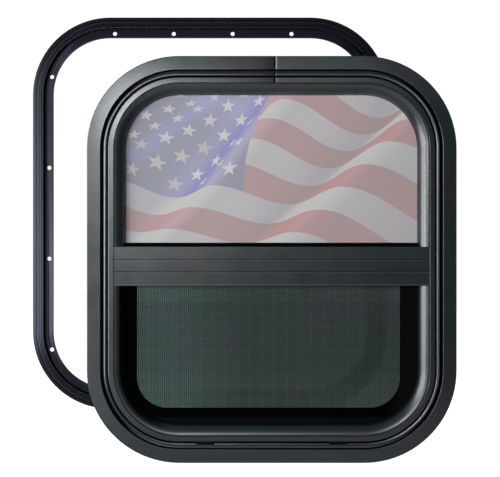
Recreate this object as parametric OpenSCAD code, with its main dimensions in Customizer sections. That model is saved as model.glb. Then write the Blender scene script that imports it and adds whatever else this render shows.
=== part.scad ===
// Caravan window with rounded corners: a fixed pane over a fly screen, with a
// sliding sash behind the screen, and the clamp ring that holds it in the wall.
// The window is drawn lying flat, face up: x to the right, y up the window,
// z towards the outside. stand() then turns it upright, face towards -Y.
// Origin: on the back face of the mounting flange, middle of its bottom band.

/* [Window] */
// Width over the outside flange
window_w = 508; // [460:1:760]
// Height over the outside flange
window_h = 559; // [500:1:760]
// Radius of the flange's outer corners
corner_r = 127; // [115:1:150]
// Depth of the sleeve that passes through the wall
sleeve_d = 34; // [32:1:60]

/* [Meeting rail] */
// Height of the rail's upper edge above the window's middle
rail_top = 17.4; // [0:0.1:40]
// Height of the rail's face
rail_h = 53.6; // [45:0.1:70]

/* [Glass] */
// Thickness of both panes
glass_t = 4; // [3:0.5:4]
// Thickness of the printed film on the fixed pane
film_t = 0.25; // [0.2:0.05:0.4]

/* [Fly screen] */
// Screen border seen at the left
border_left = 15.3; // [10:0.1:30]
// Screen border seen at the right
border_right = 24; // [10:0.1:30]
// Screen border seen at the bottom
border_bottom = 22; // [16:0.1:30]
// Radius of the mesh's lower corners
mesh_r = 42; // [20:1:60]

/* [Clamp ring] */
// Width over the ring
ring_w = 495; // [447:1:750]
// Height over the ring
ring_h = 546; // [487:1:750]
// Radius of the ring's outer corners
ring_r = 108; // [90:1:130]
// How far the ring stands to the left of its place behind the window
ring_left = 85; // [0:0.5:150]
// How far the ring stands above its place behind the window
ring_up = 64; // [0:1:120]
// Free depth between the sleeve's end and the ring's nearest face
ring_gap = 5.4; // [5.2:0.1:40]
// Diameter of the ring's screw holes
ring_hole_d = 5.6; // [4:0.1:6]

/* [Hidden] */
$fn = 96;

hw = window_w / 2;
hh = window_h / 2;
flange_mid = 12.7;            // origin: this far above the flange's bottom edge
zc = hh - flange_mid;         // height of the window's middle over the origin
rail_bot = rail_top - rail_h;

// u is measured inwards from the flange's outer edge
u_sleeve = 26.4;              // outer face of the sleeve
u_in = 28;                    // inner face of the sleeve
u_band = 37;                  // inner edge of the frame's front band
u_toe = 52.9;                 // toe of the glazing bead
u_glass = 40.5;               // edge of the fixed pane
z_film = -8.8;                // outer face of the film
z_glass = z_film - film_t;    // outer face of the fixed pane
z_ledge = -13.6;              // glazing ledge
ledge_t = 1.8;
z_sash = -19;                 // outer face of the sash's pane
u_port = 29.55;               // line of the screw ports in the sleeve

black = [0.10, 0.115, 0.12];
dark = [0.04, 0.04, 0.045];
rubber = [0.02, 0.02, 0.02];

// turns the flat drawing upright
module stand() { translate([0, 0, zc]) rotate([90, 0, 0]) children(); }

// arc points, for rounded edges of a section
function arc(cx, cy, r, a0, a1, n) =
  [for (i = [0:n]) let (a = a0 + (a1 - a0) * i / n) [cx + r * cos(a), cy + r * sin(a)]];

// one straight side of a sweep: section points are [inward, out], at distance d
// from the middle, running from y0 to y1 on the right-hand side
module side(prof, d, y0, y1) {
  translate([0, y1, 0]) rotate([90, 0, 0]) linear_extrude(height = y1 - y0)
    polygon([for (p = prof) [d - p[0], p[1]]]);
}

// one corner of a sweep, upper right
module corner(prof, w, h, r) {
  translate([w / 2 - r, h / 2 - r, 0]) rotate_extrude(angle = 90)
    polygon([for (p = prof) [r - p[0], p[1]]]);
}

// a section swept right round a rounded rectangle
module swept(prof, w, h, r) {
  side(prof, w / 2, -(h / 2 - r), h / 2 - r);
  mirror([1, 0, 0]) side(prof, w / 2, -(h / 2 - r), h / 2 - r);
  rotate([0, 0, 90]) side(prof, h / 2, -(w / 2 - r), w / 2 - r);
  rotate([0, 0, -90]) side(prof, h / 2, -(w / 2 - r), w / 2 - r);
  corner(prof, w, h, r);
  mirror([1, 0, 0]) corner(prof, w, h, r);
  mirror([0, 1, 0]) corner(prof, w, h, r);
  mirror([1, 0, 0]) mirror([0, 1, 0]) corner(prof, w, h, r);
}

// a section swept round the top of the window only, ending at height y0;
// flip = 1 sweeps it round the bottom and ends at height y0 below the middle
module half_swept(prof, w, h, r, y0, flip = 0) {
  mirror([0, flip, 0]) {
    side(prof, w / 2, y0, h / 2 - r);
    mirror([1, 0, 0]) side(prof, w / 2, y0, h / 2 - r);
    rotate([0, 0, 90]) side(prof, h / 2, -(w / 2 - r), w / 2 - r);
    corner(prof, w, h, r);
    mirror([1, 0, 0]) corner(prof, w, h, r);
  }
}

// flat plate with two round upper corners, from height y0 to the outline at
// distance u inside the flange's edge, between z0 and z1
module plate_up(u, y0, z0, z1) {
  r = corner_r - u;
  translate([0, 0, z0]) linear_extrude(height = z1 - z0) union() {
    translate([-(hw - u), y0]) square([2 * (hw - u), hh - corner_r - y0]);
    translate([-(hw - corner_r), y0]) square([2 * (hw - corner_r), hh - u - y0]);
    for (s = [-1, 1]) translate([s * (hw - corner_r), hh - corner_r]) circle(r = r);
  }
}

// the same with round lower corners, down to the outline, from height y1
module plate_down(u, y1, z0, z1) {
  r = corner_r - u;
  translate([0, 0, z0]) linear_extrude(height = z1 - z0) union() {
    translate([-(hw - u), -(hh - corner_r)]) square([2 * (hw - u), y1 + hh - corner_r]);
    translate([-(hw - corner_r), -(hh - u)]) square([2 * (hw - corner_r), y1 + hh - u]);
    for (s = [-1, 1]) translate([s * (hw - corner_r), -(hh - corner_r)]) circle(r = r);
  }
}

// section of the main frame: flange, ridge, front band, sleeve, port
frame_prof = concat(
  [[0.5, 0], [0, 0.5], [0, 1.7]],
  arc(1.1, 1.5, 1.1, 170, 100, 4),
  [[17.7, 4.25]],
  arc(18.1, 3.5, 0.75, 80, 0, 4),
  [[19.0, 1.5], [23.5, 1.5], [23.7, 5.1]],
  arc(25.6, 1.7, 4.15, 116, 64, 8),
  [[27.5, 5.1], [27.6, 1.2], [29.5, 1.2]],
  arc(30.6, 6.7, 1.0, 180, 90, 5),
  [[36.6, 7.7]],
  arc(36.6, 7.3, 0.4, 80, 0, 2),
  [[u_band, 5.4]],
  arc(33.2, 3.8, 1.6, 90, 180, 5),
  [[31.6, -0.8], [u_in, -0.8],
   [u_in, -sleeve_d + 7.1], [32.7, -sleeve_d + 7.1], [32.7, -sleeve_d],
   [31.1, -sleeve_d], [31.1, -sleeve_d + 5.5], [u_in, -sleeve_d + 5.5],
   [u_in, -sleeve_d], [u_sleeve, -sleeve_d], [u_sleeve, 0]]);

module outer_frame() {
  color(black) stand() difference() {
    swept(frame_prof, window_w, window_h, corner_r);
    // butt joint of the bent section, at the top
    translate([5, hh - 46, -sleeve_d - 1]) cube([0.3, 60, sleeve_d + 12]);
    // weep slots in the inner groove, at the bottom; each bites into the ridge
    for (x = [-91, 91]) {
      translate([x - 12, -hh + 27.5, -3]) cube([24, 2, 6]);
      translate([x - 12.5, -hh + 25.6, 1.3]) cube([25, 3, 6]);
    }
  }
}

// flat ring inside the sleeve that the pane, the screen and the beads rest on
ledge_prof = [[u_in + 0.05, z_ledge], [44, z_ledge], [44, z_ledge - ledge_t],
  [u_in + 0.05, z_ledge - ledge_t]];
module glazing_ledge() {
  color(black) stand() swept(ledge_prof, window_w, window_h, corner_r);
}

// plate inside the sleeve that joins the two ends of the bent section
module frame_splice_plate() {
  color([0.45, 0.45, 0.46]) stand()
    translate([-20, hh - u_in - 1.5, -11.6]) difference() {
      cube([50, 1.5, 10]);
      for (x = [8, 42]) translate([x, -1, 5]) rotate([-90, 0, 0]) cylinder(d = 3.2, h = 4);
    }
}

// section of the glazing bead: a quarter round with a leg down to the ledge
bead_prof = concat(
  [[37.3, 7.2]],
  arc(37.5, -8, 15.4, 90, 0, 16),
  [[51.3, -8]],
  arc(37.5, -8, 13.8, 0, 80, 12),
  [[39.8, z_ledge], [38.2, z_ledge], [38.2, 5], [37.3, 5]]);

module upper_glazing_bead() {
  color(black) stand()
    half_swept(bead_prof, window_w, window_h, corner_r, rail_top);
}

module lower_glazing_bead() {
  color(black) stand()
    half_swept(bead_prof, window_w, window_h, corner_r, -rail_bot, 1);
}

// soft lip under the bead's toe, on the film's edge
gasket_prof = [[50.6, -8], [50.6, z_film], [53.3, z_film], [53.3, -8.2], [52.9, -8]];
module glazing_gasket() {
  color(rubber) stand()
    half_swept(gasket_prof, window_w, window_h, corner_r, rail_top);
}

// double-sided tape between the pane and the ledge
tape_prof = [[40.6, z_ledge], [44, z_ledge], [44, z_glass - glass_t], [40.6, z_glass - glass_t]];
module glazing_tape() {
  color(rubber) stand()
    half_swept(tape_prof, window_w, window_h, corner_r, rail_top);
}

module fixed_glass() {
  color([0.10, 0.13, 0.13, 0.8]) stand()
    plate_up(u_glass, rail_top - 7, z_glass - glass_t, z_glass);
}

module flag_film() {
  color([0.72, 0.68, 0.70]) stand()
    plate_up(u_glass, rail_top - 7, z_glass, z_film);
}

// the rail between the two halves, a hollow section with a skirt below it
module meeting_rail() {
  l = 2 * (hw - u_band - 0.3);
  color(black) stand() difference() {
    translate([-l / 2, 0, 0]) rotate([90, 0, 90]) linear_extrude(height = l)
      difference() {
        union() {
          translate([rail_bot, 3]) square([rail_h, 2]);
          translate([rail_top - 30, -14.6]) square([30, 19]);
          translate([rail_bot, -9]) square([1.8, 14.7]);
          translate([rail_bot, 4]) square([2.6, 1.7]);
        }
        translate([rail_top - 28.2, -12.8]) square([19, 16]);
        translate([rail_top - 7.4, -7]) square([5.6, 10.2]);
        translate([rail_top - 7.4, z_glass - glass_t - 0.1]) square([9, glass_t + film_t + 0.3]);
        // fine lines rolled along the face
        for (y = [rail_top - 17.3, rail_top - 34])
          polygon([[y - 0.35, 5.01], [y, 4.45], [y + 0.35, 5.01]]);
      }
    // the ends are notched round the frame's ledge
    for (s = [-1, 1])
      translate([s * (hw - 39) - 5.2, rail_bot - 1, -16]) cube([10.4, rail_h + 2, 2.6]);
  }
}

// black strip that seals the pane's lower edge
module glass_seal_strip() {
  l = 2 * (hw - u_toe - 0.5);
  color(rubber) stand()
    translate([-l / 2, 0, 0]) rotate([90, 0, 90]) linear_extrude(height = l)
      polygon([[rail_top, z_film], [rail_top + 5.6, z_film], [rail_top + 5.6, -8.2],
               [rail_top + 3.6, -5.2], [rail_top, -4.4]]);
}

// rounded opening in the screen, as seen below the rail
module screen_hole(grow, y_top, r) {
  x0 = -(hw - u_toe - border_left) - grow;
  x1 = hw - u_toe - border_right + grow;
  y0 = -(hh - u_toe - border_bottom) - grow;
  translate([x0, y0 + r]) square([x1 - x0, y_top - y0 - r]);
  translate([x0 + r, y0]) square([x1 - x0 - 2 * r, y_top - y0]);
  translate([x0 + r, y0 + r]) circle(r = r);
  translate([x1 - r, y0 + r]) circle(r = r);
}

screen_top = rail_bot + 20;   // behind the rail's skirt
module screen_frame() {
  color(dark) stand() difference() {
    plate_down(u_glass + 0.3, screen_top, z_ledge, -9.4);
    // opening for the mesh
    translate([0, 0, -20]) linear_extrude(height = 20)
      screen_hole(0, screen_top - 14, mesh_r);
    // recessed inner border
    translate([0, 0, -11.4]) linear_extrude(height = 4)
      screen_hole(11, screen_top - 8, mesh_r + 11);
    // groove for the spline, on the room side
    translate([0, 0, -16]) linear_extrude(height = 16 - 12) difference() {
      screen_hole(5.2, screen_top - 9.5, mesh_r + 5.2);
      screen_hole(2.2, screen_top - 12, mesh_r + 2.2);
    }
  }
}

module screen_mesh() {
  color([0.18, 0.23, 0.22]) stand()
    translate([0, 0, -12.7]) linear_extrude(height = 0.4)
      screen_hole(-0.1, screen_top - 14.1, mesh_r - 0.1);
}

// round cord that holds the mesh in its groove
module screen_spline() {
  color(rubber) stand()
    translate([0, 0, -13.4]) linear_extrude(height = 1.4) difference() {
      screen_hole(5, screen_top - 9.7, mesh_r + 5);
      screen_hole(2.4, screen_top - 11.8, mesh_r + 2.4);
    }
}

// two small tabs on the screen's room side, to lift it out
module screen_pull_tabs() {
  color(dark) stand()
    for (x = [-120, 110])
      translate([x - 7, -(hh - 66), z_ledge - 2.6]) cube([14, 10, 2.6]);
}

// a track is two flat strips, against the ledge and against the screw ports;
// the sash's edge runs between them
track_strips = [for (z = [-15.5, -25.5])
  [[28.1, z], [37.5, z], [37.5, z - 1.2], [28.1, z - 1.2]]];
track_top = hh - corner_r;     // the side tracks fill the straight part of the sides
track_bot = -(hh - corner_r);
module right_track() {
  color(dark) stand() for (p = track_strips) side(p, hw, track_bot, track_top);
}
module left_track() {
  color(dark) stand() mirror([1, 0, 0])
    for (p = track_strips) side(p, hw, track_bot, track_top);
}
module sill_track() {
  color(dark) stand() for (p = track_strips) {
    rotate([0, 0, -90]) side(p, hh, -(hw - corner_r), hw - corner_r);
    mirror([0, 1, 0]) corner(p, window_w, window_h, corner_r);
    mirror([1, 0, 0]) mirror([0, 1, 0]) corner(p, window_w, window_h, corner_r);
  }
}

sash_top = 8;                 // upper edge of the sash's top rail
module sash_glass() {
  color([0.08, 0.10, 0.10, 0.8]) stand()
    plate_down(32, sash_top - 6, z_sash - glass_t, z_sash);
}

// soft edging between the sash's pane and its tracks
edge_prof = [[28.8, z_sash + 2.1], [34.5, z_sash + 2.1], [34.5, z_sash], [32, z_sash],
  [32, z_sash - glass_t], [34.5, z_sash - glass_t], [34.5, z_sash - glass_t - 2.1],
  [28.8, z_sash - glass_t - 2.1]];
module sash_edge_seal() {
  color(rubber) stand()
    half_swept(edge_prof, window_w, window_h, corner_r, 18, 1);
}

// rail along the pane's upper edge, with a finger lip
module sash_top_rail() {
  l = 2 * (hw - 39.5);
  color(black) stand()
    translate([-l / 2, 0, 0]) rotate([90, 0, 90]) linear_extrude(height = l)
      difference() {
        union() {
          translate([sash_top - 24, z_sash - glass_t - 2]) square([24, glass_t + 4]);
          translate([sash_top - 2, z_sash - glass_t - 9]) square([2, 9]);
          translate([sash_top - 5, z_sash - glass_t - 9]) square([5, 1.8]);
        }
        translate([sash_top - 25, z_sash - glass_t]) square([19, glass_t]);
      }
}

// low rail along the pane's lower edge, with the handle
module sash_bottom_rail() {
  y0 = -(hh - 38);
  l = 2 * (hw - corner_r);
  color(black) stand() {
    translate([-l / 2, 0, 0]) rotate([90, 0, 90]) linear_extrude(height = l)
      polygon([[y0, z_sash - glass_t], [y0 + 18, z_sash - glass_t],
               [y0 + 18, z_sash - glass_t - 2], [y0 + 12, z_sash - glass_t - 2],
               [y0 + 12, z_sash - glass_t - 10], [y0 + 8, z_sash - glass_t - 10],
               [y0 + 8, z_sash - glass_t - 2], [y0, z_sash - glass_t - 2]]);
  }
}

// sliding latch on the end of the sash's top rail, right hand
module latch() {
  z1 = z_sash - glass_t - 2;
  difference() {
    union() {
      translate([hw - 39.8 - 34, sash_top - 22, z1 - 6]) cube([34, 16, 6]);
      translate([hw - 39.8 - 24, sash_top - 19, z1 - 9]) cube([10, 10, 3]);
    }
    translate([hw - 39.8 - 30, sash_top - 14, z1 - 7]) cylinder(d = 3.4, h = 8);
  }
  // the bolt that reaches the keeper
  translate([hw - 39.8, sash_top - 14, z1 - 4]) rotate([0, 90, 0]) cylinder(d = 4, h = 6.5);
}
module sash_latch_right() { color(dark) stand() latch(); }
module sash_latch_left() { color(dark) stand() mirror([1, 0, 0]) latch(); }

// plate with the latch's hole, on the inner wall of the screw port
module keeper() {
  z1 = z_sash - glass_t - 2;
  translate([hw - 32.75 - 1.5, sash_top - 32, z1 - 8.8]) difference() {
    cube([1.5, 36, 7]);
    translate([-1, 18, 4.8]) rotate([0, 90, 0]) cylinder(d = 4.6, h = 4);
  }
}
module latch_keeper_right() { color([0.5, 0.5, 0.5]) stand() keeper(); }
module latch_keeper_left() { color([0.5, 0.5, 0.5]) stand() mirror([1, 0, 0]) keeper(); }

// brush strip between the meeting rail and the sash's top rail
module meeting_pile() {
  l = 2 * (hw - 46);
  color(rubber) stand()
    translate([-l / 2, rail_top - 22, z_sash + 2]) cube([l, 6, -14.6 - z_sash - 2]);
}

// section of the clamp ring: sloping face band with fine lines, deep step, and
// sloping screw band; both bands rise towards the opening
ring_prof = [
  [0, -5.2], [0.2, -4.7], [0.8, -4.2], [4.7, -3.1], [5.2, -3.5], [5.7, -2.8],
  [7.3, -2.3], [7.6, -1.85], [8.2, -1.55], [8.8, -1.5], [9.1, -1.8], [11.6, -1.1],
  [12.1, -1.5], [12.6, -0.8], [14.3, -0.3], [14.8, -0.4], [15, -0.9], [15, -6.2],
  [17.2, -6.2], [17.2, -5.6], [17.6, -5.3], [28.1, -2.7], [28.7, -2.8], [29, -3.4],
  [29, -7.1], [28.6, -7.6], [27.2, -7.6], [26.8, -5.0], [18.8, -7.0], [18.4, -7.6],
  [14.2, -7.6], [13.4, -7.0], [13.4, -2.7], [2, -6.0], [1.7, -7.2], [1.2, -7.6],
  [0.4, -7.6], [0, -7.2]];
hole_in = 23;                 // hole line, in from the ring's outer edge
hole_x0 = -133;               // first hole of the top row
hole_pitch_x = 82;
hole_y1 = 63.3;
hole_y2 = 190;
hole_arc_r = ring_r - hole_in;
hole_x2 = ring_w / 2 - ring_r + sqrt(pow(hole_arc_r, 2) - pow(hole_y2 - (ring_h / 2 - ring_r), 2));

module clamp_ring() {
  color([0.11, 0.105, 0.13]) stand()
    translate([-ring_left, ring_up, -sleeve_d - 0.6 - ring_gap]) difference() {
      swept(ring_prof, ring_w, ring_h, ring_r);
      for (i = [0:3], s = [-1, 1])
        translate([hole_x0 + hole_pitch_x * i, s * (ring_h / 2 - hole_in), -8])
          cylinder(d = ring_hole_d, h = 6);
      for (sx = [-1, 1], sy = [-1, 1]) {
        translate([sx * (ring_w / 2 - hole_in), sy * hole_y1, -8])
          cylinder(d = ring_hole_d, h = 6);
        translate([sx * hole_x2, sy * hole_y2, -8])
          cylinder(d = ring_hole_d, h = 6);
      }
    }
}

outer_frame();
glazing_ledge();
frame_splice_plate();
upper_glazing_bead();
lower_glazing_bead();
glazing_gasket();
glazing_tape();
fixed_glass();
flag_film();
meeting_rail();
glass_seal_strip();
screen_frame();
screen_mesh();
screen_spline();
screen_pull_tabs();
sash_glass();
sash_top_rail();
sash_bottom_rail();
sash_latch_left();
sash_latch_right();
latch_keeper_left();
latch_keeper_right();
left_track();
right_track();
sill_track();
meeting_pile();
sash_edge_seal();
clamp_ring();
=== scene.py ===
import bpy, bmesh, math
import numpy as np
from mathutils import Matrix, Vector


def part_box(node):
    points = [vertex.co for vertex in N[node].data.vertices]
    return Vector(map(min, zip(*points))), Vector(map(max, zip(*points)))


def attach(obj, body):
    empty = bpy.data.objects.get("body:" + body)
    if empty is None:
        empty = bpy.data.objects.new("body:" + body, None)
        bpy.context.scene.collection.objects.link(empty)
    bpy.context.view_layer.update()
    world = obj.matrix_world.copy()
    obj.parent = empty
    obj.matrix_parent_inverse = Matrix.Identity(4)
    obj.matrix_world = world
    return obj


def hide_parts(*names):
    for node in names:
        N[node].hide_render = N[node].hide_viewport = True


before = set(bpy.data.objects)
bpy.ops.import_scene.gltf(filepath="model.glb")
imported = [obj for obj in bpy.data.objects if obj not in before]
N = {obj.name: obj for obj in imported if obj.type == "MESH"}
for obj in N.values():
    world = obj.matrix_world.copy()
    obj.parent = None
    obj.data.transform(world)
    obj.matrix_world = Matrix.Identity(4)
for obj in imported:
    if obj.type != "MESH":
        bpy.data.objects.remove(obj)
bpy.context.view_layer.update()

MID = 0.2668          # height of the window's middle
HW, HH, RC = 0.254, 0.2795, 0.127


def collection_add(ob):
    bpy.context.scene.collection.objects.link(ob)
    return ob


def srgb(*c):
    """0-255 display values to linear."""
    out = []
    for v in c:
        v = v / 255.0
        out.append(v / 12.92 if v <= 0.04045 else ((v + 0.055) / 1.055) ** 2.4)
    return out


# ---------------------------------------------------------------- camera, stage, light
cam_data = bpy.data.cameras.new("cam")
cam = collection_add(bpy.data.objects.new("cam", cam_data))
cam_data.lens = 157.4
cam_data.sensor_width = 36
cam_data.clip_end = 60
cam.location = (-0.0298, -3.004, 0.2956)
cam.rotation_euler = (math.pi / 2, 0, 0)
bpy.context.scene.camera = cam

view = bpy.context.scene.view_settings
view.view_transform = "Standard"
view.look = "None"
view.exposure = 0
view.gamma = 1

world = bpy.data.worlds.new("studio")
bpy.context.scene.world = world
world.use_nodes = True
wt = world.node_tree
wt.nodes.clear()
w_out = wt.nodes.new("ShaderNodeOutputWorld")
w_bg = wt.nodes.new("ShaderNodeBackground")      # what lights the object: dim in front, bright behind
w_seen = wt.nodes.new("ShaderNodeBackground")    # the white backdrop
w_mix = wt.nodes.new("ShaderNodeMixShader")
w_path = wt.nodes.new("ShaderNodeLightPath")
w_tc = wt.nodes.new("ShaderNodeTexCoord")
w_sep = wt.nodes.new("ShaderNodeSeparateXYZ")
w_map = wt.nodes.new("ShaderNodeMapRange")
w_map.interpolation_type = "SMOOTHSTEP"
w_map.inputs["From Min"].default_value = 0.05
w_map.inputs["From Max"].default_value = 0.75
w_map.inputs["To Min"].default_value = 0.075
w_map.inputs["To Max"].default_value = 1.05
wt.links.new(w_tc.outputs["Generated"], w_sep.inputs[0])
wt.links.new(w_sep.outputs["Y"], w_map.inputs["Value"])
wt.links.new(w_map.outputs[0], w_bg.inputs["Strength"])
w_bg.inputs["Color"].default_value = (1, 1, 1, 1)
w_seen.inputs["Color"].default_value = (1, 1, 1, 1)
w_seen.inputs["Strength"].default_value = 1.05
wt.links.new(w_path.outputs["Is Camera Ray"], w_mix.inputs[0])
wt.links.new(w_bg.outputs[0], w_mix.inputs[1])
wt.links.new(w_seen.outputs[0], w_mix.inputs[2])
wt.links.new(w_mix.outputs[0], w_out.inputs[0])


def area(name, loc, target, size, size_y, power, colour=(1, 1, 1)):
    d = bpy.data.lights.new(name, "AREA")
    d.shape = "RECTANGLE"
    d.size, d.size_y, d.energy, d.color = size, size_y, power, colour
    o = collection_add(bpy.data.objects.new(name, d))
    o.location = loc
    o.rotation_euler = (Vector(target) - Vector(loc)).to_track_quat("-Z", "Y").to_euler()
    o.visible_camera = False
    return o


COOL = (0.965, 1.0, 1.02)
area("soft_front", (-0.52, -2.50, 0.76), (0, 0, 0.28), 0.55, 0.55, 31.5, COOL)
area("soft_side", (-1.36, -0.85, 0.37), (0.05, 0, 0.26), 1.3, 0.98, 38, COOL)
area("soft_low", (-2.20, -2.80, 0.42), (0, 0, 0.25), 0.9, 0.7, 38, COOL)
area("soft_edge", (-1.10, 0.00, 0.36), (0.2, 0, 0.26), 0.55, 0.7, 7, COOL)
area("fill_below", (0.05, -2.20, -0.58), (0, 0, 0.05), 2.0, 0.75, 2.6, COOL)
area("fill_below_left", (-0.85, -2.20, -0.24), (-0.2, 0, 0.08), 0.4, 0.4, 0.65, COOL)


# ---------------------------------------------------------------- node helpers
class Mat:
    """A material with a Principled shader, and short calls for its nodes."""

    def __init__(self, name):
        self.m = bpy.data.materials.new(name)
        self.m.use_nodes = True
        self.t = self.m.node_tree
        self.t.nodes.clear()
        self.out = self.t.nodes.new("ShaderNodeOutputMaterial")
        self.b = self.t.nodes.new("ShaderNodeBsdfPrincipled")
        self.t.links.new(self.b.outputs[0], self.out.inputs[0])
        self.tc = self.t.nodes.new("ShaderNodeTexCoord").outputs["Object"]

    def set(self, **kw):
        names = {"metal": "Metallic", "rough": "Roughness", "spec": "Specular IOR Level", "coat": "Coat Weight",
                 "coat_rough": "Coat Roughness", "sheen": "Sheen Weight", "sheen_rough": "Sheen Roughness",
                 "trans": "Transmission Weight", "ior": "IOR", "aniso": "Anisotropic"}
        for k, v in kw.items():
            self.b.inputs[names[k]].default_value = v
        return self

    def link(self, a, b):
        self.t.links.new(a, b)

    def to(self, socket, name):
        self.t.links.new(socket, self.b.inputs[name])

    def node(self, kind, **props):
        n = self.t.nodes.new(kind)
        for k, v in props.items():
            setattr(n, k, v)
        return n

    def feed(self, n, i, v):
        if isinstance(v, bpy.types.NodeSocket):
            self.t.links.new(v, n.inputs[i])
        elif v is not None:
            n.inputs[i].default_value = v

    def mapped(self, scale=(1, 1, 1), loc=(0, 0, 0), rot=(0, 0, 0)):
        n = self.node("ShaderNodeMapping")
        self.link(self.tc, n.inputs["Vector"])
        n.inputs["Scale"].default_value = scale
        n.inputs["Location"].default_value = loc
        n.inputs["Rotation"].default_value = rot
        return n.outputs[0]

    def noise(self, scale, detail=2.0, rough=0.5, vec=None, distort=0.0):
        n = self.node("ShaderNodeTexNoise")
        self.link(vec if vec is not None else self.tc, n.inputs["Vector"])
        n.inputs["Scale"].default_value = scale
        n.inputs["Detail"].default_value = detail
        n.inputs["Roughness"].default_value = rough
        n.inputs["Distortion"].default_value = distort
        return n.outputs["Fac"]

    def voronoi(self, scale, vec=None, feature="F1"):
        n = self.node("ShaderNodeTexVoronoi", feature=feature)
        self.link(vec if vec is not None else self.tc, n.inputs["Vector"])
        n.inputs["Scale"].default_value = scale
        return n.outputs["Distance"]

    def math(self, op, a, b=None, c=None, clamp=False):
        n = self.node("ShaderNodeMath", operation=op, use_clamp=clamp)
        self.feed(n, 0, a)
        self.feed(n, 1, b)
        if c is not None:
            self.feed(n, 2, c)
        return n.outputs[0]

    def range(self, v, a, b, lo=0.0, hi=1.0, smooth=False):
        n = self.node("ShaderNodeMapRange")
        if smooth:
            n.interpolation_type = "SMOOTHSTEP"
        self.feed(n, "Value", v)
        for k, x in (("From Min", a), ("From Max", b), ("To Min", lo), ("To Max", hi)):
            self.feed(n, k, x)
        return n.outputs[0]

    def mix(self, f, a, b, blend="MIX"):
        n = self.node("ShaderNodeMix", data_type="RGBA", blend_type=blend)
        self.feed(n, 0, f)
        for i, v in ((6, a), (7, b)):
            if isinstance(v, bpy.types.NodeSocket):
                self.link(v, n.inputs[i])
            else:
                n.inputs[i].default_value = (*v[:3], 1)
        return n.outputs[2]

    def attr(self, name, out="Fac"):
        n = self.node("ShaderNodeAttribute", attribute_name=name)
        return n.outputs[out]

    def xyz(self, vec=None):
        n = self.node("ShaderNodeSeparateXYZ")
        self.link(vec if vec is not None else self.tc, n.inputs[0])
        return n.outputs

    def bump(self, height, distance, strength=1.0, normal=None):
        n = self.node("ShaderNodeBump")
        n.inputs["Strength"].default_value = strength
        n.inputs["Distance"].default_value = distance
        self.link(height, n.inputs["Height"])
        if normal is not None:
            self.link(normal, n.inputs["Normal"])
        self._normal = n.outputs[0]
        return n.outputs[0]

    def inset(self, cx, cz, hw, hh, r):
        """Distance in from a rounded outline, in metres."""
        x, y, z = self.xyz()[0:3]
        ax = self.math("SUBTRACT", self.math("ABSOLUTE", self.math("SUBTRACT", x, cx)), hw - r)
        az = self.math("SUBTRACT", self.math("ABSOLUTE", self.math("SUBTRACT", z, cz)), hh - r)
        ox, oz = self.math("MAXIMUM", ax, 0.0), self.math("MAXIMUM", az, 0.0)
        far = self.math("SQRT", self.math("ADD", self.math("MULTIPLY", ox, ox), self.math("MULTIPLY", oz, oz)))
        inside = self.math("MINIMUM", self.math("MAXIMUM", ax, az), 0.0)
        return self.math("SUBTRACT", r, self.math("ADD", far, inside))

    def lines(self, d, scale, detail=2.0, rough=0.6):
        """Fine lines that run along a section: noise of the inset distance only."""
        comb = self.node("ShaderNodeCombineXYZ")
        self.link(d, comb.inputs[0])
        return self.noise(scale, detail, rough, comb.outputs[0])

    def bevel(self, radius, samples=4):
        n = self.node("ShaderNodeBevel", samples=samples)
        n.inputs["Radius"].default_value = radius
        return n.outputs[0]


# ---------------------------------------------------------------- finishes
def powder_coat(name, teal, violet, rough=0.235, spec=0.5, grain=1.0, extra=None, gloss=None, crown=None):
    """Satin black powder coat: slight orange peel, fine grain, faint drift of tint and gloss."""
    m = Mat(name).set(spec=spec)
    drift = m.noise(7.0, 2.0, 0.55)
    cloud = m.noise(38.0, 3.0, 0.55)
    fleck = m.noise(2600.0, 1.0, 0.6)
    base = m.mix(m.range(drift, 0.42, 0.60, smooth=True), teal, violet)
    tone = m.math("MULTIPLY_ADD", cloud, 0.34, 0.83)
    drawn = m.lines(m.inset(0.0, MID, HW, HH, RC), 1300.0)
    tone = m.math("MULTIPLY", tone, m.math("MULTIPLY_ADD", drawn, 0.26, 0.87))
    tone = m.math("MULTIPLY", tone, m.math("MULTIPLY_ADD", fleck, 0.40 * grain, 1.0 - 0.20 * grain))
    n = m.node("ShaderNodeVectorMath", operation="SCALE")
    m.link(base, n.inputs[0])
    m.link(tone, n.inputs["Scale"])
    colour = n.outputs[0]
    if extra is not None:
        colour = extra(m, colour)
    m.to(colour, "Base Color")
    r = m.math("ADD", m.math("MULTIPLY_ADD", cloud, 0.08, rough - 0.04), m.math("MULTIPLY_ADD", drift, 0.05, -0.025))
    if gloss is not None:
        r = m.math("ADD", r, gloss(m))
    m.to(r, "Roughness")
    peel = m.noise(620.0, 2.0, 0.5)
    b1 = m.bump(peel, 0.00002, 0.22 * grain, m.bump(crown(m), 1.0) if crown else None)
    b2 = m.bump(m.noise(3400.0, 1.0, 0.5), 0.000006, 0.3 * grain, b1)
    m.to(b2, "Normal")
    return m.m


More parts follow.
